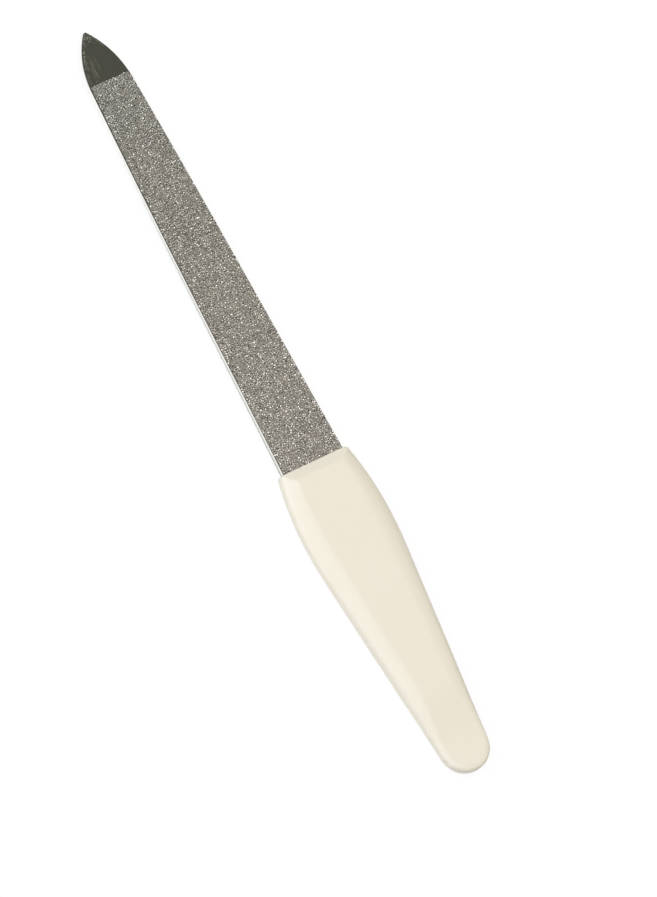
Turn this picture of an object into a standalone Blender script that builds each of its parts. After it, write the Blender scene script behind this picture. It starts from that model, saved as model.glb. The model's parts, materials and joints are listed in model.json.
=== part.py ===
# A diamond nail file: a stamped steel blade with a bare pointed tip, a coat of
# diamond grit on each face, and a handle moulded round the blade's tang.
# The file lies flat on its handle, with +Y towards the tip and +Z out of its front face.
# The origin is under the middle of the file, on the surface that it rests on.

import math

import bmesh
import bpy
from mathutils import Vector

MM = 0.001

# Driving sizes of the whole file
BLADE_REACH = 88.95 * MM
HANDLE_LENGTH = 63.45 * MM
OVERRUN = 2.0 * MM

# Steel blade
BLADE_THICKNESS = 1.15 * MM
BLADE_WIDTH_AT_COLLAR = 12.96 * MM
BLADE_WIDTH_AT_TIP = 8.64 * MM
BLADE_SIDE_BULGE = 0.19 * MM
BLADE_EDGE_BREAK = 0.08 * MM
TIP_LENGTH = 9.76 * MM
TIP_SIDE_RADIUS = 18.6 * MM
TIP_NOSE_RADIUS = 0.4 * MM

# Tang, the part of the blade inside the handle
SHOULDER_DEPTH = 4.0 * MM
TANG_WIDTH = 8.0 * MM
TANG_END_WIDTH = 6.0 * MM
TANG_END_MARGIN = 4.0 * MM
TANG_CORNER_RADIUS = 1.5 * MM
KEY_HOLE_DIAMETER = 3.2 * MM
KEY_HOLE_PLACE_SHARES = (0.24, 0.68)
KEY_ROOT = 0.5 * MM

# Grit coats
GRIT_THICKNESS = 0.17 * MM
GRIT_MARGIN = 0.1 * MM
GRIT_DEPTH_IN_COLLAR = 1.5 * MM

# Handle, seen from above
COLLAR_SHOULDER = 0.53 * MM
COLLAR_CORNER_RADIUS = 0.4 * MM
HANDLE_SWELL = 1.68 * MM
WIDEST_FROM_COLLAR = 13.7 * MM
REAR_SIDE_RADIUS = 72.0 * MM
HANDLE_END_RADIUS = 4.95 * MM

# Handle, seen from the side
HANDLE_WALL = 1.225 * MM
COLLAR_LIP = 0.15 * MM
COLLAR_BEVEL_LENGTH = 1.95 * MM
TAIL_SLOPE_LENGTH = 11.3 * MM
PAD_LENGTH = 6.0 * MM

# Handle, seen from the end
SIDE_WALL_HEIGHT = 1.6 * MM
SIDE_WALL_HEIGHT_AT_TAIL = 2.3 * MM
FLANK_WIDTH_AT_COLLAR = 2.75 * MM
FLANK_WIDTH = 3.2 * MM
FLANK_WIDTH_AT_TAIL = 2.65 * MM
FLANK_BOW_SHARE = 0.06
PAD_WALL_HEIGHT = 1.6 * MM
PAD_EDGE_WIDTH = 0.8 * MM
PAD_EDGE_RISE = 0.35 * MM
WALL_EDGE_ROUND = 0.72 * MM
WALL_EDGE_ROUND_AT_TAIL = 1.0 * MM
CREASE_ROUND_AT_COLLAR = 0.45 * MM
CREASE_ROUND = 0.95 * MM
CREASE_ROUND_AT_TAIL = 0.65 * MM

# Fit of the handle round the blade
CLEARANCE = 0.1 * MM

# How finely the round shapes are divided
NOSE_STEPS = 5
TIP_SIDE_STEPS = 10
BLADE_SIDE_STEPS = 8
CORNER_STEPS = 4
HOLE_STEPS = 24
BEVEL_STEPS = 2
BEVEL_ROUND_STEPS = 6
FRONT_STEPS = 8
REAR_STEPS = 6
TAPER_STEPS = 30
END_STEPS = 12
ROUND_STEPS = 5
SMOOTH_ANGLE = math.radians(24.0)
WELD_DISTANCE = 0.001 * MM

# Places that follow from the sizes
FILE_LENGTH = BLADE_REACH + HANDLE_LENGTH
APEX_Y = FILE_LENGTH / 2
HANDLE_END_Y = -FILE_LENGTH / 2
COLLAR_Y = APEX_Y - BLADE_REACH
GRIT_LINE_Y = APEX_Y - TIP_LENGTH
SHOULDER_Y = COLLAR_Y - SHOULDER_DEPTH
PAD_Y = HANDLE_END_Y + PAD_LENGTH
FLAT_END_Y = PAD_Y + TAIL_SLOPE_LENGTH
TANG_END_Y = FLAT_END_Y + TANG_END_MARGIN
WIDEST_Y = COLLAR_Y - WIDEST_FROM_COLLAR
COLLAR_HALF_WIDTH = BLADE_WIDTH_AT_COLLAR / 2 + CLEARANCE + COLLAR_SHOULDER + COLLAR_CORNER_RADIUS
HANDLE_HALF_WIDTH = COLLAR_HALF_WIDTH + HANDLE_SWELL
FRONT_SIDE_RADIUS = (HANDLE_SWELL**2 + WIDEST_FROM_COLLAR**2) / (2 * HANDLE_SWELL)
PAD_HALF_HEIGHT = PAD_WALL_HEIGHT / 2 + PAD_EDGE_RISE
MOUTH_HALF_HEIGHT = BLADE_THICKNESS / 2 + GRIT_THICKNESS + CLEARANCE
HANDLE_HALF_HEIGHT = BLADE_THICKNESS / 2 + CLEARANCE + HANDLE_WALL
MIDDLE_Z = HANDLE_HALF_HEIGHT
FRONT_FACE_Z = MIDDLE_Z + BLADE_THICKNESS / 2
BACK_FACE_Z = MIDDLE_Z - BLADE_THICKNESS / 2


def clear_scene():
    """Start from an empty scene."""
    for item in list(bpy.data.objects):
        bpy.data.objects.remove(item, do_unlink=True)


def make_material(name, colour, roughness, metallic):
    """A plain finish for one piece."""
    material = bpy.data.materials.new(name)
    material.use_nodes = True
    shader = material.node_tree.nodes["Principled BSDF"]
    shader.inputs["Base Color"].default_value = (*colour, 1.0)
    shader.inputs["Roughness"].default_value = roughness
    shader.inputs["Metallic"].default_value = metallic
    material.diffuse_color = (*colour, 1.0)
    return material


def add_object(name, form, material=None):
    """Turn a bmesh into an object, shaded smooth with its hard edges kept."""
    mesh = bpy.data.meshes.new(name)
    bmesh.ops.recalc_face_normals(form, faces=form.faces)
    form.to_mesh(mesh)
    form.free()
    mesh.shade_smooth()
    mesh.set_sharp_from_angle(angle=SMOOTH_ANGLE)
    item = bpy.data.objects.new(name, mesh)
    bpy.context.scene.collection.objects.link(item)
    if material:
        mesh.materials.append(material)
    return item


def hide_helper(item):
    """Mark a cutter or a filler, which is not a piece of the file."""
    item.hide_render = True
    item.display_type = "WIRE"


def boolean(item, helper, operation):
    """Cut or join a helper solid, keeping the modifier live."""
    modifier = item.modifiers.new(helper.name, "BOOLEAN")
    modifier.object = helper
    modifier.operation = operation
    modifier.solver = "EXACT"
    hide_helper(helper)


def arc(centre, radius, start, end, steps):
    """Points of an arc, from one angle to another."""
    points = []
    for step in range(steps + 1):
        points.append(centre + direction(start + (end - start) * step / steps) * radius)
    return points


def direction(angle):
    """The flat direction at an angle from +X."""
    return Vector((math.cos(angle), math.sin(angle)))


def angle_of(way):
    """The angle of a flat direction, from +X."""
    return math.atan2(way.y, way.x)


def circle_crossing(centre_a, radius_a, centre_b, radius_b):
    """The crossing of two circles that lies to the right of the way from a to b."""
    way = centre_b - centre_a
    along = (radius_a**2 - radius_b**2 + way.length_squared) / (2 * way.length)
    aside = math.sqrt(radius_a**2 - along**2)
    unit = way.normalized()
    return centre_a + unit * along + Vector((unit.y, -unit.x)) * aside


def symmetric(right_side):
    """A closed outline from its right side, which runs from the top to the bottom."""
    left_side = [Vector((-point.x, point.y)) for point in reversed(right_side) if point.x > WELD_DISTANCE]
    return right_side + left_side


def prism(outline, low, high):
    """A flat solid of an outline, between two heights."""
    form = bmesh.new()
    corners = [form.verts.new((point.x, point.y, low)) for point in outline]
    base = form.faces.new(corners)
    grown = bmesh.ops.extrude_face_region(form, geom=[base])["geom"]
    for part in grown:
        if isinstance(part, bmesh.types.BMVert):
            part.co.z = high
    return form


def cylinder(centre, radius, low, high):
    """An upright round solid."""
    return prism(arc(centre, radius, 0, math.tau, HOLE_STEPS)[:-1], low, high)


def blade_half_width(y):
    """Half the blade's width, which widens from the grit line, faster at first than near the collar."""
    share = (GRIT_LINE_Y - y) / (GRIT_LINE_Y - COLLAR_Y)
    straight = (BLADE_WIDTH_AT_TIP + (BLADE_WIDTH_AT_COLLAR - BLADE_WIDTH_AT_TIP) * share) / 2
    return straight + BLADE_SIDE_BULGE * 27 / 4 * share * (1 - share) ** 2


def blade_side(start_y, end_y, inset):
    """The blade's right edge between two places, moved in by an inset."""
    points = []
    for step in range(BLADE_SIDE_STEPS + 1):
        y = start_y + (end_y - start_y) * step / BLADE_SIDE_STEPS
        points.append(Vector((blade_half_width(y) - inset, y)))
    return points


def tip_side():
    """The right edge of the bare tip, from the apex to the grit line."""
    base = Vector((blade_half_width(GRIT_LINE_Y), GRIT_LINE_Y))
    nose = Vector((0, APEX_Y - TIP_NOSE_RADIUS))
    centre = circle_crossing(nose, TIP_SIDE_RADIUS - TIP_NOSE_RADIUS, base, TIP_SIDE_RADIUS)
    join = angle_of(nose - centre)
    nose_arc = arc(nose, TIP_NOSE_RADIUS, math.pi / 2, join, NOSE_STEPS)
    side_arc = arc(centre, TIP_SIDE_RADIUS, join, angle_of(base - centre), TIP_SIDE_STEPS)
    return nose_arc + side_arc[1:]


def tang_side(grow):
    """The right edge of the tang, from the shoulder to the tang's end, moved out by a gap."""
    shoulder_y = SHOULDER_Y - grow
    end_y = TANG_END_Y - grow
    radius = TANG_CORNER_RADIUS + grow
    corner = Vector((TANG_END_WIDTH / 2 + grow - radius, end_y + radius))
    return [
        Vector((blade_half_width(SHOULDER_Y) + grow, shoulder_y)),
        Vector((TANG_WIDTH / 2 + grow, shoulder_y)),
        *arc(corner, radius, 0, -math.pi / 2, CORNER_STEPS),
    ]


def key_hole_centres():
    """The middles of the holes in the tang that the handle's material fills."""
    tang_length = SHOULDER_Y - TANG_END_Y
    return [Vector((0, SHOULDER_Y - tang_length * share)) for share in KEY_HOLE_PLACE_SHARES]


def break_outline_edges(form, width):
    """Chamfer the upper and lower edges all round a flat solid."""
    edges = [edge for edge in form.edges if edge.verts[0].co.z == edge.verts[1].co.z]
    bmesh.ops.bevel(form, geom=edges, offset=width, segments=1, affect="EDGES")


def make_blade():
    """The steel blade: bare tip, tapered body, shoulders and a tang with its key holes."""
    right_side = tip_side() + blade_side(GRIT_LINE_Y, SHOULDER_Y, 0)[1:] + tang_side(0)[1:]
    form = prism(symmetric(right_side), BACK_FACE_Z, FRONT_FACE_Z)
    break_outline_edges(form, BLADE_EDGE_BREAK)
    steel = make_material("bare carbon steel", (0.25, 0.24, 0.22), 0.4, 1.0)
    blade = add_object("blade", form, steel)
    low = BACK_FACE_Z - OVERRUN
    high = FRONT_FACE_Z + OVERRUN
    for number, centre in enumerate(key_hole_centres(), 1):
        hole_form = cylinder(centre, KEY_HOLE_DIAMETER / 2, low, high)
        boolean(blade, add_object(f"key_hole_cutter_{number}", hole_form), "DIFFERENCE")
    return blade


def make_grit(name, low, high):
    """One coat of diamond grit, from the grit line to just inside the collar."""
    right_side = blade_side(GRIT_LINE_Y, COLLAR_Y - GRIT_DEPTH_IN_COLLAR, GRIT_MARGIN)
    grit = make_material(name + " diamond in nickel", (0.22, 0.21, 0.18), 0.5, 0.6)
    return add_object(name, prism(symmetric(right_side), low, high), grit)


def spread(start, end, steps):
    """Evenly spaced values that leave out the start and reach the end."""
    return [start + (end - start) * step / steps for step in range(1, steps + 1)]


def front_places():
    """Places along the handle's front, from the collar through its bevel to the widest place."""
    turn = math.pi / 2 / CORNER_STEPS
    corner = [COLLAR_CORNER_RADIUS * (1 - math.cos(turn * step)) for step in range(CORNER_STEPS + 1)]
    crease_start = COLLAR_BEVEL_LENGTH - CREASE_ROUND_AT_COLLAR
    crease_end = COLLAR_BEVEL_LENGTH + CREASE_ROUND_AT_COLLAR
    bevel = spread(COLLAR_CORNER_RADIUS, crease_start, BEVEL_STEPS)
    crease = spread(crease_start, crease_end, BEVEL_ROUND_STEPS)
    swell = spread(crease_end, WIDEST_FROM_COLLAR, FRONT_STEPS)[:-1]
    return [COLLAR_Y - depth for depth in corner + bevel + crease + swell]


def collar_corner_inset(y):
    """How far the collar's small corner radius draws the edge in."""
    short = max(COLLAR_CORNER_RADIUS - (COLLAR_Y - y), 0)
    return COLLAR_CORNER_RADIUS - math.sqrt(COLLAR_CORNER_RADIUS**2 - short**2)


def handle_side():
    """The handle's right edge, as pairs of a place on the outline and its outward direction."""
    widest = Vector((HANDLE_HALF_WIDTH, WIDEST_Y))
    rear_centre = widest - Vector((REAR_SIDE_RADIUS, 0))
    end_centre = Vector((0, HANDLE_END_Y + HANDLE_END_RADIUS))
    way = end_centre - rear_centre
    taper = angle_of(way) + math.acos((REAR_SIDE_RADIUS - HANDLE_END_RADIUS) / way.length)
    stations = []
    for y in front_places():
        drop = FRONT_SIDE_RADIUS - math.sqrt(FRONT_SIDE_RADIUS**2 - (y - widest.y) ** 2)
        stations.append((Vector((widest.x - drop - collar_corner_inset(y), y)), Vector((1, 0))))
    for step in range(REAR_STEPS + 1):
        out = direction(taper * step / REAR_STEPS)
        stations.append((rear_centre + out * REAR_SIDE_RADIUS, out))
    rear_end = stations[-1][0]
    out = direction(taper)
    end_start = end_centre + out * HANDLE_END_RADIUS
    for step in range(1, TAPER_STEPS + 1):
        stations.append((rear_end.lerp(end_start, step / TAPER_STEPS), out))
    for step in range(1, END_STEPS + 1):
        out = direction(taper + (-math.pi / 2 - taper) * step / END_STEPS)
        stations.append((end_centre + out * HANDLE_END_RADIUS, out))
    return stations


def ease(share):
    """A smooth step from 0 to 1, level at both ends."""
    share = min(max(share, 0), 1)
    return share * share * (3 - 2 * share)


def tail_share(y):
    """How far the handle has thinned, from 0 at the end of its flat to 1 at the pad."""
    return ease((FLAT_END_Y - y) / TAIL_SLOPE_LENGTH)


def half_height(y):
    """Half the handle's thickness at its flat face, before the collar is rounded."""
    return HANDLE_HALF_HEIGHT + (PAD_HALF_HEIGHT - HANDLE_HALF_HEIGHT) * tail_share(y)


def collar_height(y):
    """Half the height that the collar's bevel leaves, with the bevel's upper edge rounded."""
    slope = (HANDLE_HALF_HEIGHT - MOUTH_HALF_HEIGHT - COLLAR_LIP) / COLLAR_BEVEL_LENGTH
    to_go = COLLAR_BEVEL_LENGTH - (COLLAR_Y - y)
    if to_go > CREASE_ROUND_AT_COLLAR:
        return half_height(y) - slope * to_go
    rounded = max(to_go + CREASE_ROUND_AT_COLLAR, 0)
    return half_height(y) - slope * rounded**2 / (4 * CREASE_ROUND_AT_COLLAR)


def swell_share(y):
    """How far the handle has swelled, from 0 at the collar to 1 at its widest place."""
    return ease((COLLAR_Y - y) / WIDEST_FROM_COLLAR)


def taper_share(y):
    """How far the handle has tapered, from 0 at its widest place to 1 at the end of its flat."""
    return ease((WIDEST_Y - y) / (WIDEST_Y - FLAT_END_Y))


def flank_width(y):
    """Width of the sloping flank, which ends in the narrow edge of the pad."""
    body = FLANK_WIDTH_AT_COLLAR + (FLANK_WIDTH - FLANK_WIDTH_AT_COLLAR) * swell_share(y)
    body += (FLANK_WIDTH_AT_TAIL - FLANK_WIDTH) * taper_share(y)
    return body + (PAD_EDGE_WIDTH - body) * tail_share(y)


def wall_half_height(y):
    """Half the height of the side wall, which grows towards the tail and shrinks again into the pad."""
    body = SIDE_WALL_HEIGHT + (SIDE_WALL_HEIGHT_AT_TAIL - SIDE_WALL_HEIGHT) * taper_share(y)
    return (body + (PAD_WALL_HEIGHT - body) * tail_share(y)) / 2


def wall_edge_round(y):
    """How far the round between side wall and flank reaches, which widens towards the tail."""
    return WALL_EDGE_ROUND + (WALL_EDGE_ROUND_AT_TAIL - WALL_EDGE_ROUND) * taper_share(y)


def crease_round(y):
    """How far the round between flank and face reaches: crisp at the collar, soft in the middle."""
    body = CREASE_ROUND_AT_COLLAR + (CREASE_ROUND - CREASE_ROUND_AT_COLLAR) * swell_share(y) ** 2
    return body + (CREASE_ROUND_AT_TAIL - CREASE_ROUND) * taper_share(y)


def rounded_corner(start, corner, end):
    """Points of the smooth round that leaves one side of a corner and meets the other."""
    points = []
    for step in range(ROUND_STEPS + 1):
        share = step / ROUND_STEPS
        points.append(start.lerp(corner, share).lerp(corner.lerp(end, share), share))
    return points


def cut_off(profile, height):
    """A rising profile with its points above a height drawn back to where it crosses that height."""
    kept = [point for point in profile if point.y <= height]
    if len(kept) == len(profile):
        return profile
    low = kept[-1]
    high = profile[len(kept)]
    crossing = low.lerp(high, (height - low.y) / (high.y - low.y))
    return kept + [crossing] * (len(profile) - len(kept))


def flank_profile(y):
    """The way from the side wall up the bowed flank to the face, as points of inset and height."""
    wall_top = Vector((0, wall_half_height(y)))
    crease = Vector((flank_width(y), half_height(y)))
    flank = crease - wall_top
    bow = wall_top + flank / 2 + Vector((-flank.y, flank.x)) * FLANK_BOW_SHARE
    lower_way = (bow - wall_top).normalized()
    upper_way = (crease - bow).normalized()
    edge_reach = min(wall_edge_round(y), wall_top.y, flank.length / 2)
    crease_reach = min(crease_round(y), flank.length / 2)
    flank_start = wall_top + lower_way * edge_reach
    flank_end = crease - upper_way * crease_reach
    edge = rounded_corner(wall_top - Vector((0, edge_reach)), wall_top, flank_start)
    middle = rounded_corner(flank_start, bow, flank_end)[1:-1]
    top = rounded_corner(flank_end, crease, crease + Vector((crease_reach, 0)))
    return cut_off(edge + middle + top, collar_height(y))


def handle_ring(form, place, out):
    """One ring of the handle's skin, round the section at a station of its right edge."""
    ring = []
    for side, half in ((1, 1), (-1, 1), (-1, -1), (1, -1)):
        quarter = []
        for point in flank_profile(place.y):
            spot = place - out * point.x
            quarter.append((side * spot.x, spot.y, MIDDLE_Z + half * point.y))
        ring += quarter if side == half else quarter[::-1]
    return [form.verts.new(point) for point in ring]


def make_handle_skin():
    """The handle's outer shape: rings along its edge, joined, with its flat front closed."""
    form = bmesh.new()
    rings = [handle_ring(form, place, out) for place, out in handle_side()]
    for near, far in zip(rings, rings[1:]):
        for index in range(len(near)):
            after = (index + 1) % len(near)
            form.faces.new((near[index], near[after], far[after], far[index]))
    form.faces.new(rings[0])
    bmesh.ops.remove_doubles(form, verts=form.verts, dist=WELD_DISTANCE)
    bmesh.ops.dissolve_degenerate(form, edges=form.edges, dist=WELD_DISTANCE)
    return form


def make_handle():
    """The moulded handle, hollow round the tang and the coats' ends, and solid through the key holes."""
    ivory = make_material("ivory moulded plastic", (0.86, 0.80, 0.67), 0.3, 0.0)
    handle = add_object("handle", make_handle_skin(), ivory)
    low = BACK_FACE_Z - CLEARANCE
    high = FRONT_FACE_Z + CLEARANCE
    slot_side = blade_side(COLLAR_Y + OVERRUN, SHOULDER_Y, -CLEARANCE)[:-1] + tang_side(CLEARANCE)
    slot = add_object("slot_cutter", prism(symmetric(slot_side), low, high))
    boolean(handle, slot, "DIFFERENCE")
    mouth_end = COLLAR_Y - GRIT_DEPTH_IN_COLLAR - CLEARANCE
    mouth_side = blade_side(COLLAR_Y + OVERRUN, mouth_end, -CLEARANCE)
    mouth_form = prism(symmetric(mouth_side), MIDDLE_Z - MOUTH_HALF_HEIGHT, MIDDLE_Z + MOUTH_HALF_HEIGHT)
    boolean(handle, add_object("mouth_cutter", mouth_form), "DIFFERENCE")
    for number, centre in enumerate(key_hole_centres(), 1):
        key_form = cylinder(centre, KEY_HOLE_DIAMETER / 2 - CLEARANCE, low - KEY_ROOT, high + KEY_ROOT)
        boolean(handle, add_object(f"key_filler_{number}", key_form), "UNION")
    return handle


clear_scene()
make_blade()
make_grit("grit_front", FRONT_FACE_Z, FRONT_FACE_Z + GRIT_THICKNESS)
make_grit("grit_back", BACK_FACE_Z - GRIT_THICKNESS, BACK_FACE_Z)
make_handle()
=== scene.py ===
# The looks of a handled diamond nail file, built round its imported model.
# Lengths are in metres. +Y runs to the tip, +Z out of the front face, and the file rests on Z = 0.
# Colours are sRGB hex. A pair that limits a finish gives where it begins and where it is full.

import json
import math

import bpy
from mathutils import Matrix, Vector

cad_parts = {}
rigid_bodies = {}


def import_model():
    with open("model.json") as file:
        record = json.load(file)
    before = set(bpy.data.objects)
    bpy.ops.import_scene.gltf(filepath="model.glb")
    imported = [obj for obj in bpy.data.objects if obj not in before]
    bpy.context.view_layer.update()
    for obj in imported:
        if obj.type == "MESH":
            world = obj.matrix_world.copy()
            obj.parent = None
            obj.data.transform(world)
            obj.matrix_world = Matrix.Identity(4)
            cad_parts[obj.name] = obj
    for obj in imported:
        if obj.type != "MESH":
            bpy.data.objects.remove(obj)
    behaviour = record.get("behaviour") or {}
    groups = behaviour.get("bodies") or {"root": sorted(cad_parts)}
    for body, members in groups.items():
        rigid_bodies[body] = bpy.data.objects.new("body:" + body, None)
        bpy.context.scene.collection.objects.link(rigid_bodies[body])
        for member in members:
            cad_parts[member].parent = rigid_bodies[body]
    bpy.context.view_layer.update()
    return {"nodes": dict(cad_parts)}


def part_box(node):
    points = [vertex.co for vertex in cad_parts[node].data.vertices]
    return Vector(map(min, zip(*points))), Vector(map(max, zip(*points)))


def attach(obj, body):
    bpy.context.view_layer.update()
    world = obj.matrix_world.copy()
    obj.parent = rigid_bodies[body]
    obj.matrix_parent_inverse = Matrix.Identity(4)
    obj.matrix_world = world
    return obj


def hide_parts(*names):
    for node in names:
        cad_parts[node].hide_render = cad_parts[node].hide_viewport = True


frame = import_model()

MM = 0.001

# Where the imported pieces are
BLADE_LOW, BLADE_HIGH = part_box("blade")
COAT_LOW, COAT_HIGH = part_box("grit_front")
HANDLE_LOW, HANDLE_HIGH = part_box("handle")
COLLAR_Y = HANDLE_HIGH.y
GRIT_LINE_Y = COAT_HIGH.y
COAT_END_Y = COAT_LOW.y
MIDDLE_Z = (HANDLE_LOW.z + HANDLE_HIGH.z) / 2

# Blade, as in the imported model: its widths, and the arc of the tip's right side
HALF_WIDTH_AT_GRIT_LINE = 4.32 * MM
HALF_WIDTH_AT_COLLAR = 6.48 * MM
SIDE_BULGE = 0.19 * MM
BULGE_SCALE = 27 / 4
TIP_SIDE_RADIUS = 18.6 * MM
TIP_SIDE_CENTRE = Vector((-14.16, 64.37, 0)) * MM

# Ivory plastic. The mould's real grain is too fine to show, so it is drawn coarser
IVORY_TONES = ("ECE4D2", "EEE7D6")
IVORY_ROUGHNESS = 0.32
IVORY_IOR = 1.53
IVORY_CLOUD = 11.0 * MM
IVORY_GRAIN = 0.25 * MM
IVORY_GRAIN_DETAIL = 3.0
IVORY_GRAIN_STRENGTH = 0.05
IVORY_GRAIN_DEPTH = 0.01 * MM

# Tones of the bare steel's face, of its sides, and of the dark line along the tip's edge
STEEL_ROUGHNESS = 0.3
FACE_TONES = ("31322D", "383934")
FACE_PATCH_TONE = "40413B"
FACE_SCRATCH_TONE = "716F62"
FACE_FLECK_TONE = "7A7973"
SIDE_TONES = ("D8D6D0", "FCFCFA")
SIDE_BURNISHED_TONE = "FAF9F6"
SIDE_PLATED_TONE = "86837B"
DARK_TONE = "1E1D1A"

# Patterns on the bare steel. Its real rolled grain is too fine to show, so it is drawn coarser
ROLLED_GRAIN = 0.2 * MM
ROLLED_STRETCH = (1.0, 0.08, 1.0)
PATCH_SIZE = 0.83 * MM
PATCH_NOISE = (0.45, 0.62)
FLECK_SIZE = 0.24 * MM
FLECK_NOISE = (0.52, 0.68)

# Limits on the bare steel's face, across it, along it and inside the tip's curved edge
PATCHED_X = (-0.8 * MM, -2.6 * MM)
WORN_LEFT_X = (0.0 * MM, -0.5 * MM)
WORN_BOTH_EDGES_Y = (71.6 * MM, 73.6 * MM)
WORN_APEX_Y = (73.4 * MM, 75.6 * MM)
WORN_BAND_Y = (69.4 * MM, 71.4 * MM)
WORN_BAND_INSIDE = (0.60 * MM, 0.30 * MM)
DARK_LINE_INSIDE = (0.22 * MM, 0.0 * MM)

# Limits on the bare steel's sides, along them and up them from the blade's middle
BRIGHT_SIDE_Y = (26.0 * MM, 62.0 * MM)
BURNISHED_RISE = (-0.20 * MM, 0.05 * MM)
PLATED_RISE = (0.30 * MM, 0.40 * MM)
DARK_SIDE_Y = (66.0 * MM, 71.5 * MM)
DARK_SIDE_RISE = (-0.05 * MM, 0.19 * MM)

# How squarely steel faces up or down where it is plated and where it is face, and how much less on the
# left. The lean paints a reflection: right-facing chamfers take the bright side tone, left-facing ones the
# dark face tone
PLATED_FACING = (0.5, 0.3)
FACE_FACING = (0.55, 0.75)
PAINTED_REFLECTION_LEAN = -0.5

# Scratches along the tip, each with its place across, its two ends, half its width and its strength
SCRATCHES = (
    (-1.76 * MM, 67.3 * MM, 71.3 * MM, 0.07 * MM, 0.75),
    (-0.70 * MM, 68.5 * MM, 71.8 * MM, 0.06 * MM, 0.50),
    (-2.15 * MM, 68.6 * MM, 70.2 * MM, 0.09 * MM, 0.45),
    (-1.22 * MM, 69.7 * MM, 71.2 * MM, 0.05 * MM, 0.30),
)
SCRATCH_FADE = 0.5 * MM

# Coats of both faces: how far inside the blade's edge they stay, and their tint from collar to grit line
COAT_MARGIN_AT_GRIT_LINE = 0.1 * MM
COAT_MARGIN_AT_COLLAR = 0.0 * MM
COAT_TINTS = ((0.0, "F4F2EE"), (0.5, "EDECE6"), (1.0, "E2E4E1"))
FRONT_SEED = 100
BACK_SEED = 200
SEEDS_PER_SOWING = 10

# Nickel bond
BOND_THICKNESS = 0.16 * MM
BOND_UNEVENNESS = 0.02 * MM
BOND_CELL = 0.5 * MM
BOND_CELLS_ACROSS = 24
BOND_TONES = ((0.35, "4C4A46"), (0.65, "9C978F"))
BOND_EDGE_TONE = "66635D"
BOND_TOP_FACING = (0.5, 0.8)
BOND_METALLIC = 0.6
BOND_ROUGHNESS = 0.5
PIT_SIZE = 0.143 * MM

# Diamond crystals. Real grit of about 0.15 mm is too fine to show, so it is drawn about twice as coarse
TONE_ATTRIBUTE = "crystal_tone"
CRYSTAL_MARGIN = 0.12 * MM
CRYSTAL_IRREGULARITY = 0.16
CRYSTALS_PER_MM2 = 150
# Crystal tones from dark through grey to near-white; the near-white end is partly a lighter tone and partly
# painted glint
CRYSTAL_TONES_AND_PAINTED_GLINTS = ((0.0, "1A1816"), (0.5, "94908A"), (1.0, "FFFDF8"))
CRYSTAL_METALLIC = 0.4
CRYSTAL_ROUGHNESS = 0.4

# Shapes that a crystal is crushed from, each about one unit across
CRYSTAL_SHAPES = (
    (bpy.ops.mesh.primitive_cube_add, {"size": 0.72}),
    (bpy.ops.mesh.primitive_uv_sphere_add, {"segments": 4, "ring_count": 3, "radius": 0.56}),
    (bpy.ops.mesh.primitive_cone_add, {"vertices": 4, "radius1": 0.54, "radius2": 0.3, "depth": 0.7}),
    (bpy.ops.mesh.primitive_cylinder_add, {"vertices": 3, "radius": 0.54, "depth": 0.64}),
)

# Each sowing of crystals: least spacing, sizes, height of their middles over the bond, and tones. The
# second sowing's near-white tones are lighter crystals with painted glints
SOWINGS = (
    (0.30 * MM, (0.20 * MM, 0.30 * MM), -0.06 * MM, (0.40, 0.60)),
    (0.38 * MM, (0.24 * MM, 0.36 * MM), -0.02 * MM, (0.62, 1.00)),
    (0.38 * MM, (0.24 * MM, 0.36 * MM), -0.02 * MM, (0.00, 0.30)),
)

# Camera at the photograph's angle: tilted to the file's left, leaned to the handle's end, and rolled.
# Its lens and its sensor are in millimetres
CAMERA_TILT = math.radians(25.42)
CAMERA_LEAN = math.radians(5.81)
CAMERA_ROLL = math.radians(28.04)
CAMERA_LENS = 500.0
CAMERA_SENSOR = 36.0
CAMERA_REACH = 10.0
PICTURE_SIZE = Vector((657.0, 897.0))
PIXELS_PER_MM = 5.510
FILE_CENTRE_IN_PICTURE = Vector((279.20, 400.82))

# Each soft lamp: its direction, radius, tint, and the share of full white that it gives what faces it
LAMP_DISTANCE = 1.2
LAMPS = {
    "top_lamp": (Vector((0.0, 0.0, 1.0)), 0.44, (0.98, 1.0, 1.05), 0.246),
    "left_lamp_at_tip": (Vector((-0.60, 0.45, 0.66)), 0.6, (0.96, 1.0, 1.05), 0.540),
    "left_lamp_at_tail": (Vector((-0.60, -0.45, 0.66)), 0.6, (1.0, 1.0, 1.04), 0.230),
    "right_lamp": (Vector((0.65, 0.0, 0.76)), 0.8, (1.09, 1.0, 0.82), 0.242),
}

# Surround and floor
SURROUND_TONE = "FFFFFF"
FLOOR_SIZE = 6.0
FLOOR_BOUNCE = 0.90
FLOOR_SHADOW_SHARE = 0.12
FLOOR_GLOW = 0.90


def linear(colour):
    """A colour written as sRGB hex, as the linear values that a shader takes."""
    values = []
    for start in (0, 2, 4):
        value = int(colour[start:start + 2], 16) / 255
        values.append(value / 12.92 if value <= 0.04045 else ((value + 0.055) / 1.055) ** 2.4)
    return (*values, 1.0)


def add_node(tree, kind, inputs=None, stops=(), **settings):
    """Add one node to a tree, with its settings, its plain values, its links and a ramp's stops.

    An input goes by its name, or by its number where other inputs of the node share that name.
    """
    node = tree.nodes.new(kind)
    for name, value in settings.items():
        setattr(node, name, value)
    for name, value in (inputs or {}).items():
        if isinstance(value, bpy.types.NodeSocket):
            tree.links.new(value, node.inputs[name])
        else:
            node.inputs[name].default_value = value
    for number, (place, colour) in enumerate(stops):
        elements = node.color_ramp.elements
        stop = elements[number] if number < len(elements) else elements.new(place)
        stop.position = place
        stop.color = linear(colour)
    return node


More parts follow.
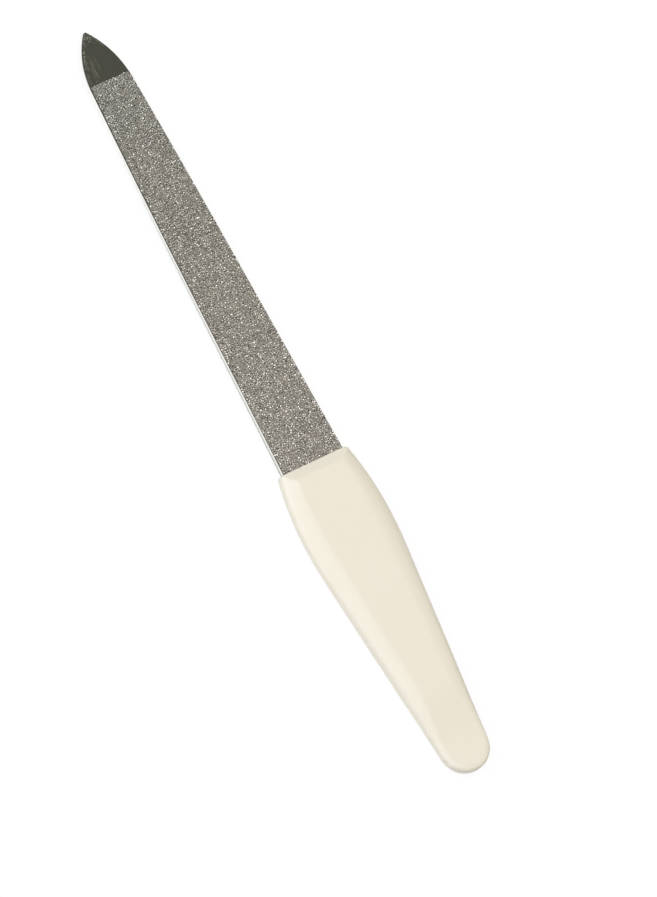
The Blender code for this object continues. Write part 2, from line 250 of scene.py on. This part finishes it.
def within(tree, *limits, share=1.0):
    """A share of a finish that fades out past each of its limits, each a value and its range."""
    for value, (begins, full) in limits:
        inside = add_node(
            tree, "ShaderNodeMapRange", {"Value": value, "From Min": begins, "From Max": full},
            interpolation_type="SMOOTHSTEP",
        ).outputs[0]
        share = add_node(tree, "ShaderNodeMath", {0: share, 1: inside}, operation="MULTIPLY").outputs[0]
    return share


def layered(tree, colour, *layers):
    """A colour with others laid over it in turn, each with the share that it covers."""
    for share, over in layers:
        below, above = [linear(tone) if isinstance(tone, str) else tone for tone in (colour, over)]
        mix = add_node(tree, "ShaderNodeMix", {0: share, 6: below, 7: above}, data_type="RGBA")
        colour = mix.outputs[2]
    return colour


def new_material(name):
    """An empty material and its tree."""
    material = bpy.data.materials.new(name)
    material.use_nodes = True
    material.node_tree.nodes.clear()
    return material, material.node_tree


def ivory_plastic():
    """Injection-moulded ABS in ivory: an even satin gloss that softens every reflection."""
    material, tree = new_material("ivory moulded ABS")
    place = add_node(tree, "ShaderNodeTexCoord").outputs["Object"]
    cloud = add_node(tree, "ShaderNodeTexNoise", {"Vector": place, "Scale": 1 / IVORY_CLOUD})
    grain = add_node(tree, "ShaderNodeTexNoise", {
        "Vector": place,
        "Scale": 1 / IVORY_GRAIN,
        "Detail": IVORY_GRAIN_DETAIL,
    })
    bump = add_node(tree, "ShaderNodeBump", {
        "Height": grain.outputs["Fac"],
        "Strength": IVORY_GRAIN_STRENGTH,
        "Distance": IVORY_GRAIN_DEPTH,
    })
    shader = add_node(tree, "ShaderNodeBsdfPrincipled", {
        "Base Color": layered(tree, IVORY_TONES[0], (cloud.outputs["Fac"], IVORY_TONES[1])),
        "Roughness": IVORY_ROUGHNESS,
        "IOR": IVORY_IOR,
        "Normal": bump.outputs["Normal"],
    })
    add_node(tree, "ShaderNodeOutputMaterial", {"Surface": shader.outputs[0]})
    return material


def inside_tip(tree, x, y):
    """How far a point is inside the curved edge of the tip, whose left side mirrors its right."""
    across = add_node(tree, "ShaderNodeMath", {0: x}, operation="ABSOLUTE").outputs[0]
    mirrored = add_node(tree, "ShaderNodeCombineXYZ", {"X": across, "Y": y}).outputs[0]
    reach = add_node(
        tree, "ShaderNodeVectorMath", {0: mirrored, 1: TIP_SIDE_CENTRE}, operation="DISTANCE",
    ).outputs["Value"]
    return add_node(tree, "ShaderNodeMath", {0: TIP_SIDE_RADIUS, 1: reach}, operation="SUBTRACT").outputs[0]


def scratches(tree, x, y):
    """The tip's long scratches, each a share and its tone."""
    layers = []
    for middle, start, end, half_width, strength in SCRATCHES:
        aside = add_node(tree, "ShaderNodeMath", {0: x, 1: middle}, operation="SUBTRACT").outputs[0]
        off = add_node(tree, "ShaderNodeMath", {0: aside}, operation="ABSOLUTE").outputs[0]
        across = (off, (half_width, 0.0))
        from_start = (y, (start, start + SCRATCH_FADE))
        from_end = (y, (end, end - SCRATCH_FADE))
        layers.append((within(tree, across, from_start, from_end, share=strength), FACE_SCRATCH_TONE))
    return layers


def worn_share(tree, x, y, inside):
    """How worn the face is: along the tip's left edge, along both near the apex, and all over the apex."""
    edges = add_node(tree, "ShaderNodeMath", {
        0: within(tree, (x, WORN_LEFT_X)),
        1: within(tree, (y, WORN_BOTH_EDGES_Y)),
    }, operation="MAXIMUM").outputs[0]
    band = within(tree, (inside, WORN_BAND_INSIDE), (y, WORN_BAND_Y), share=edges)
    apex = within(tree, (y, WORN_APEX_Y))
    return add_node(tree, "ShaderNodeMath", {0: band, 1: apex}, operation="MAXIMUM").outputs[0]


def steel_face(tree, place, x, y):
    """The blade's dark face: rolled, patchy on the left, scratched, flecked where worn, and dark-edged."""
    stretched = add_node(
        tree, "ShaderNodeVectorMath", {0: place, 1: ROLLED_STRETCH}, operation="MULTIPLY",
    ).outputs[0]
    rolled, patches, flecks = [
        add_node(tree, "ShaderNodeTexNoise", {"Vector": points, "Scale": 1 / size}).outputs["Fac"]
        for points, size in ((stretched, ROLLED_GRAIN), (place, PATCH_SIZE), (place, FLECK_SIZE))
    ]
    inside = inside_tip(tree, x, y)
    worn = worn_share(tree, x, y, inside)
    return layered(
        tree, FACE_TONES[0],
        (rolled, FACE_TONES[1]),
        (within(tree, (patches, PATCH_NOISE), (x, PATCHED_X)), FACE_PATCH_TONE),
        *scratches(tree, x, y),
        (within(tree, (flecks, FLECK_NOISE), share=worn), FACE_FLECK_TONE),
        (within(tree, (inside, DARK_LINE_INSIDE)), DARK_TONE),
    )


def steel_side(tree, y, rise, upward):
    """The blade's side: ground bright, burnished, grey where the plating reaches it, dark at the tip."""
    return layered(
        tree, SIDE_TONES[0],
        (within(tree, (y, BRIGHT_SIDE_Y)), SIDE_TONES[1]),
        (within(tree, (rise, BURNISHED_RISE)), SIDE_BURNISHED_TONE),
        (within(tree, (rise, PLATED_RISE), (upward, PLATED_FACING)), SIDE_PLATED_TONE),
        (within(tree, (y, DARK_SIDE_Y), (rise, DARK_SIDE_RISE)), DARK_TONE),
    )


def bare_steel():
    """Cold-rolled carbon steel: a dark oiled face, worn at the tip's edge, and bright ground sides."""
    material, tree = new_material("bare carbon steel")
    place = add_node(tree, "ShaderNodeTexCoord").outputs["Object"]
    x, y, z = add_node(tree, "ShaderNodeSeparateXYZ", {"Vector": place}).outputs
    rise = add_node(tree, "ShaderNodeMath", {0: z, 1: MIDDLE_Z}, operation="SUBTRACT").outputs[0]
    normal = add_node(tree, "ShaderNodeNewGeometry").outputs["Normal"]
    facing = add_node(tree, "ShaderNodeSeparateXYZ", {"Vector": normal}).outputs
    upward = add_node(tree, "ShaderNodeMath", {0: facing["Z"]}, operation="ABSOLUTE").outputs[0]
    # Painted reflection: steel that faces right counts less as face, so the right chamfer takes the bright
    # side tone and the left one the dark face tone
    painted_reflection_lean = add_node(
        tree, "ShaderNodeMath", {0: facing["X"], 1: PAINTED_REFLECTION_LEAN, 2: 1.0}, operation="MULTIPLY_ADD",
    ).outputs[0]
    facing_with_painted_reflection = add_node(tree, "ShaderNodeMath", {0: upward, 1: painted_reflection_lean}, operation="MULTIPLY").outputs[0]
    side = steel_side(tree, y, rise, upward)
    face = steel_face(tree, place, x, y)
    shader = add_node(tree, "ShaderNodeBsdfPrincipled", {
        "Base Color": layered(tree, side, (within(tree, (facing_with_painted_reflection, FACE_FACING)), face)),
        "Metallic": 1.0,
        "Roughness": STEEL_ROUGHNESS,
    })
    add_node(tree, "ShaderNodeOutputMaterial", {"Surface": shader.outputs[0]})
    return material


def tinted(tree, colour):
    """A coat's colour, a little cooler and darker towards the tip."""
    place = add_node(tree, "ShaderNodeTexCoord").outputs["Object"]
    y = add_node(tree, "ShaderNodeSeparateXYZ", {"Vector": place}).outputs["Y"]
    along = add_node(
        tree, "ShaderNodeMapRange", {"Value": y, "From Min": COLLAR_Y, "From Max": GRIT_LINE_Y},
    ).outputs[0]
    tint = add_node(tree, "ShaderNodeValToRGB", {"Fac": along}, stops=COAT_TINTS).outputs["Color"]
    return add_node(
        tree, "ShaderNodeMix", {0: 1.0, 6: colour, 7: tint}, data_type="RGBA", blend_type="MULTIPLY",
    ).outputs[2]


def nickel_bond():
    """Electroplated nickel between the crystals: dull and pitted, so its grey is finely mottled."""
    material, tree = new_material("electroplated nickel bond")
    place = add_node(tree, "ShaderNodeTexCoord").outputs["Object"]
    normal = add_node(tree, "ShaderNodeNewGeometry").outputs["Normal"]
    facing = add_node(tree, "ShaderNodeSeparateXYZ", {"Vector": normal}).outputs
    upward = add_node(tree, "ShaderNodeMath", {0: facing["Z"]}, operation="ABSOLUTE").outputs[0]
    pits = add_node(tree, "ShaderNodeTexNoise", {"Vector": place, "Scale": 1 / PIT_SIZE}).outputs["Fac"]
    pitted = add_node(tree, "ShaderNodeValToRGB", {"Fac": pits}, stops=BOND_TONES).outputs["Color"]
    grey = layered(tree, BOND_EDGE_TONE, (within(tree, (upward, BOND_TOP_FACING)), pitted))
    shader = add_node(tree, "ShaderNodeBsdfPrincipled", {
        "Base Color": tinted(tree, grey),
        "Metallic": BOND_METALLIC,
        "Roughness": BOND_ROUGHNESS,
    })
    add_node(tree, "ShaderNodeOutputMaterial", {"Surface": shader.outputs[0]})
    return material


def diamond_crystals():
    """Crushed diamond, half sunk in nickel: flat facets, most grey, some dark, and a few near-white, a
    lighter tone with painted glints.
    """
    material, tree = new_material("nickel-set diamond crystals")
    tone = add_node(tree, "ShaderNodeAttribute", attribute_name=TONE_ATTRIBUTE).outputs["Fac"]
    facets = add_node(tree, "ShaderNodeValToRGB", {"Fac": tone}, stops=CRYSTAL_TONES_AND_PAINTED_GLINTS).outputs["Color"]
    shader = add_node(tree, "ShaderNodeBsdfPrincipled", {
        "Base Color": tinted(tree, facets),
        "Metallic": CRYSTAL_METALLIC,
        "Roughness": CRYSTAL_ROUGHNESS,
    })
    add_node(tree, "ShaderNodeOutputMaterial", {"Surface": shader.outputs[0]})
    return material


def deselect_all():
    """Leave nothing selected, so that an operator acts on the new piece alone."""
    bpy.ops.object.select_all(action="DESELECT")


def start_piece(name, add, **settings):
    """Add a primitive as the start of a named piece."""
    deselect_all()
    add(**settings)
    piece = bpy.context.active_object
    piece.name = name
    piece.data.name = name
    return piece


def settle(piece):
    """Put a piece's place, turn and size into its mesh."""
    deselect_all()
    piece.select_set(True)
    bpy.context.view_layer.objects.active = piece
    bpy.ops.object.transform_apply(location=True, rotation=True, scale=True)


def blade_half_width(y):
    """Half the blade's width, which widens from the grit line, faster at first than near the collar."""
    share = (GRIT_LINE_Y - y) / (GRIT_LINE_Y - COLLAR_Y)
    straight = HALF_WIDTH_AT_GRIT_LINE + (HALF_WIDTH_AT_COLLAR - HALF_WIDTH_AT_GRIT_LINE) * share
    # The scale brings the greatest value of share * (1 - share) ** 2 to 1
    return straight + SIDE_BULGE * BULGE_SCALE * share * (1 - share) ** 2


def coat_margin(y):
    """How far a coat stays inside the blade's edge, which narrows towards the collar."""
    share = (GRIT_LINE_Y - y) / (GRIT_LINE_Y - COLLAR_Y)
    return COAT_MARGIN_AT_GRIT_LINE + (COAT_MARGIN_AT_COLLAR - COAT_MARGIN_AT_GRIT_LINE) * share


def cut_crystals(material):
    """The few shapes of crushed crystal that are sown over the coats."""
    stock = bpy.data.collections.new("crystal_shapes")
    for number, (add, settings) in enumerate(CRYSTAL_SHAPES, 1):
        piece = start_piece(f"crystal_{number}", add, **settings)
        bpy.ops.object.mode_set(mode="EDIT")
        bpy.ops.mesh.select_all(action="SELECT")
        bpy.ops.transform.vertex_random(offset=CRYSTAL_IRREGULARITY, seed=number)
        bpy.ops.object.mode_set(mode="OBJECT")
        piece.data.materials.append(material)
        bpy.context.scene.collection.objects.unlink(piece)
        stock.objects.link(piece)
    return stock


def put_away(stock):
    """Remove the crystal shapes, once they are sown."""
    for shape in list(stock.objects):
        bpy.data.objects.remove(shape)
    bpy.data.collections.remove(stock)


def sowing_plan(name, stock, seed, spacing, sizes, tones):
    """The steps that sow crystals over a sheet, each turned, sized and toned its own way."""
    place_seed, turn_seed, size_seed, pick_seed, tone_seed, *_ = range(seed, seed + SEEDS_PER_SOWING)
    tree = bpy.data.node_groups.new(name, "GeometryNodeTree")
    for way in ("INPUT", "OUTPUT"):
        tree.interface.new_socket("Geometry", in_out=way, socket_type="NodeSocketGeometry")
    sheet = add_node(tree, "NodeGroupInput").outputs[0]
    places = add_node(tree, "GeometryNodeDistributePointsOnFaces", {
        "Mesh": sheet,
        "Distance Min": spacing,
        "Density Max": CRYSTALS_PER_MM2 / MM**2,
        "Seed": place_seed,
    }, distribute_method="POISSON").outputs["Points"]
    turn = add_node(
        tree, "FunctionNodeRandomValue", {1: (math.tau,) * 3, "Seed": turn_seed}, data_type="FLOAT_VECTOR",
    ).outputs[0]
    size = add_node(
        tree, "FunctionNodeRandomValue", {2: sizes[0], 3: sizes[1], "Seed": size_seed},
    ).outputs[1]
    last_shape = len(stock.objects) - 1
    pick = add_node(
        tree, "FunctionNodeRandomValue", {4: 0, 5: last_shape, "Seed": pick_seed}, data_type="INT",
    ).outputs[2]
    tone = add_node(
        tree, "FunctionNodeRandomValue", {2: tones[0], 3: tones[1], "Seed": tone_seed},
    ).outputs[1]
    shapes = add_node(tree, "GeometryNodeCollectionInfo", {
        "Collection": stock,
        "Separate Children": True,
        "Reset Children": True,
    }).outputs[0]
    sown = add_node(tree, "GeometryNodeInstanceOnPoints", {
        "Points": places,
        "Instance": shapes,
        "Pick Instance": True,
        "Instance Index": pick,
        "Rotation": turn,
        "Scale": size,
    }).outputs[0]
    toned = add_node(tree, "GeometryNodeStoreNamedAttribute", {
        "Geometry": sown,
        "Name": TONE_ATTRIBUTE,
        "Value": tone,
    }, data_type="FLOAT", domain="INSTANCE").outputs[0]
    solid = add_node(tree, "GeometryNodeRealizeInstances", {"Geometry": toned}).outputs[0]
    add_node(tree, "NodeGroupOutput", {"Geometry": solid})
    return tree


def coat_sheet(name, height, margin=0.0):
    """A flat sheet of a coat's outline, moved in by a margin, at one height and in small cells."""
    length = GRIT_LINE_Y - COAT_END_Y
    sheet = start_piece(
        name, bpy.ops.mesh.primitive_grid_add, size=1,
        x_subdivisions=BOND_CELLS_ACROSS, y_subdivisions=round(length / BOND_CELL),
        location=(0, (GRIT_LINE_Y + COAT_END_Y) / 2, height),
    )
    sheet.scale = (1, length, 1)
    settle(sheet)
    for vertex in sheet.data.vertices:
        vertex.co.x *= 2 * (blade_half_width(vertex.co.y) - coat_margin(vertex.co.y) - margin)
    return sheet


def make_bond(node, steel_z, outward, material, seed):
    """The thin nickel bond of a coat, which lies on the blade's face."""
    bond = coat_sheet(node + "_coat", steel_z)
    bpy.ops.object.mode_set(mode="EDIT")
    bpy.ops.mesh.select_all(action="SELECT")
    bpy.ops.mesh.extrude_region_move(TRANSFORM_OT_translate={"value": (0, 0, outward * BOND_THICKNESS)})
    bpy.ops.transform.vertex_random(offset=BOND_UNEVENNESS, seed=seed)
    bpy.ops.mesh.select_all(action="SELECT")
    bpy.ops.mesh.normals_make_consistent(inside=False)
    bpy.ops.object.mode_set(mode="OBJECT")
    bond.data.materials.append(material)
    return bond


def sow_crystals(node, steel_z, outward, stock, seed):
    """The crystals that stand out of a coat's bond, one piece for each sowing."""
    sown = []
    for number, (spacing, sizes, height, tones) in enumerate(SOWINGS, 1):
        sheet_z = steel_z + outward * (BOND_THICKNESS + height)
        sheet = coat_sheet(f"{node}_sowing_{number}", sheet_z, CRYSTAL_MARGIN)
        sowing = sheet.modifiers.new("sowing", "NODES")
        first_seed = seed + SEEDS_PER_SOWING * number
        sowing.node_group = sowing_plan(sheet.name, stock, first_seed, spacing, sizes, tones)
        bpy.ops.object.modifier_apply(modifier=sowing.name)
        sown.append(sheet)
    return sown


def make_coat(node, steel_z, outward, stock, bond_material, seed):
    """One coat of a face: crushed diamond held in nickel."""
    sown = sow_crystals(node, steel_z, outward, stock, seed)
    coat = make_bond(node, steel_z, outward, bond_material, seed)
    for crystals in sown:
        crystals.select_set(True)
    bpy.ops.object.join()
    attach(coat, "root")
    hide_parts(node)


def dress(node, material):
    """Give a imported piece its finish."""
    mesh = frame["nodes"][node].data
    mesh.materials.clear()
    mesh.materials.append(material)


def set_camera():
    """Look at the file from the photograph's angle."""
    camera = bpy.data.objects.new("camera", bpy.data.cameras.new("camera"))
    bpy.context.scene.collection.objects.link(camera)
    camera.data.sensor_fit = "VERTICAL"
    camera.data.sensor_height = CAMERA_SENSOR
    camera.data.lens = CAMERA_LENS
    camera.data.clip_end = CAMERA_REACH
    back = Vector((
        -math.sin(CAMERA_TILT) * math.cos(CAMERA_LEAN),
        -math.sin(CAMERA_LEAN),
        math.cos(CAMERA_TILT) * math.cos(CAMERA_LEAN),
    ))
    along = Vector((0, 1, 0))
    along = (along - back * along.dot(back)).normalized()
    across = along.cross(back)
    up = along * math.cos(CAMERA_ROLL) + across * math.sin(CAMERA_ROLL)
    right = across * math.cos(CAMERA_ROLL) - along * math.sin(CAMERA_ROLL)
    off_centre = (FILE_CENTRE_IN_PICTURE - PICTURE_SIZE / 2) / PIXELS_PER_MM * MM
    aim = Vector((0, 0, MIDDLE_Z)) - right * off_centre.x + up * off_centre.y
    distance = CAMERA_LENS / CAMERA_SENSOR * PICTURE_SIZE.y / PIXELS_PER_MM * MM
    turn = Matrix((right, up, back)).transposed().to_4x4()
    camera.matrix_world = Matrix.Translation(aim + back * distance) @ turn
    bpy.context.scene.camera = camera


def seen_directly(tree):
    """1 for rays that show a surface itself, and 0 for those that only carry its light."""
    path = add_node(tree, "ShaderNodeLightPath").outputs
    seen = path["Is Camera Ray"]
    for kind in ("Is Glossy Ray", "Is Transmission Ray"):
        seen = add_node(tree, "ShaderNodeMath", {0: seen, 1: path[kind]}, operation="MAXIMUM").outputs[0]
    return seen


def set_surround():
    """A surround that looks white and gives no light."""
    world = bpy.data.worlds.new("studio")
    world.use_nodes = True
    tree = world.node_tree
    tree.nodes.clear()
    white = add_node(tree, "ShaderNodeBackground", {
        "Color": linear(SURROUND_TONE),
        "Strength": seen_directly(tree),
    })
    add_node(tree, "ShaderNodeOutputWorld", {"Surface": white.outputs[0]})
    bpy.context.scene.world = world


def set_lamps():
    """Soft round lamps overhead and on both sides, all at one distance from the file."""
    for name, (way, radius, tint, share) in LAMPS.items():
        lamp = bpy.data.lights.new(name, "AREA")
        lamp.color = tint
        lamp.shape = "DISK"
        lamp.size = 2 * radius
        # The power at which white that faces the lamp shows the share
        lamp.energy = share * math.pi**2 * (LAMP_DISTANCE**2 + radius**2)
        stand = bpy.data.objects.new(name, lamp)
        bpy.context.scene.collection.objects.link(stand)
        stand.location = way.normalized() * LAMP_DISTANCE
        stand.rotation_euler = way.to_track_quat("Z", "Y").to_euler()
        stand.visible_camera = False


def lay_floor():
    """A floor of white paper, which throws back most of the light and shows only a faint shadow."""
    floor = start_piece("floor", bpy.ops.mesh.primitive_plane_add, size=FLOOR_SIZE)
    material, tree = new_material("white paper sweep")
    seen = seen_directly(tree)
    grey = add_node(
        tree, "ShaderNodeMapRange", {"Value": seen, "To Min": FLOOR_BOUNCE, "To Max": FLOOR_SHADOW_SHARE},
    ).outputs[0]
    glow = add_node(tree, "ShaderNodeMath", {0: seen, 1: FLOOR_GLOW}, operation="MULTIPLY").outputs[0]
    paper = add_node(tree, "ShaderNodeBsdfDiffuse", {"Color": grey})
    backlight = add_node(tree, "ShaderNodeEmission", {"Strength": glow})
    both = add_node(tree, "ShaderNodeAddShader", {0: paper.outputs[0], 1: backlight.outputs[0]})
    add_node(tree, "ShaderNodeOutputMaterial", {"Surface": both.outputs[0]})
    floor.data.materials.append(material)


bpy.context.scene.view_settings.view_transform = "Standard"
set_camera()
set_surround()
set_lamps()
lay_floor()
dress("blade", bare_steel())
dress("handle", ivory_plastic())
crystal_stock = cut_crystals(diamond_crystals())
bond = nickel_bond()
make_coat("grit_front", BLADE_HIGH.z, 1, crystal_stock, bond, FRONT_SEED)
make_coat("grit_back", BLADE_LOW.z, -1, crystal_stock, bond, BACK_SEED)
put_away(crystal_stock)
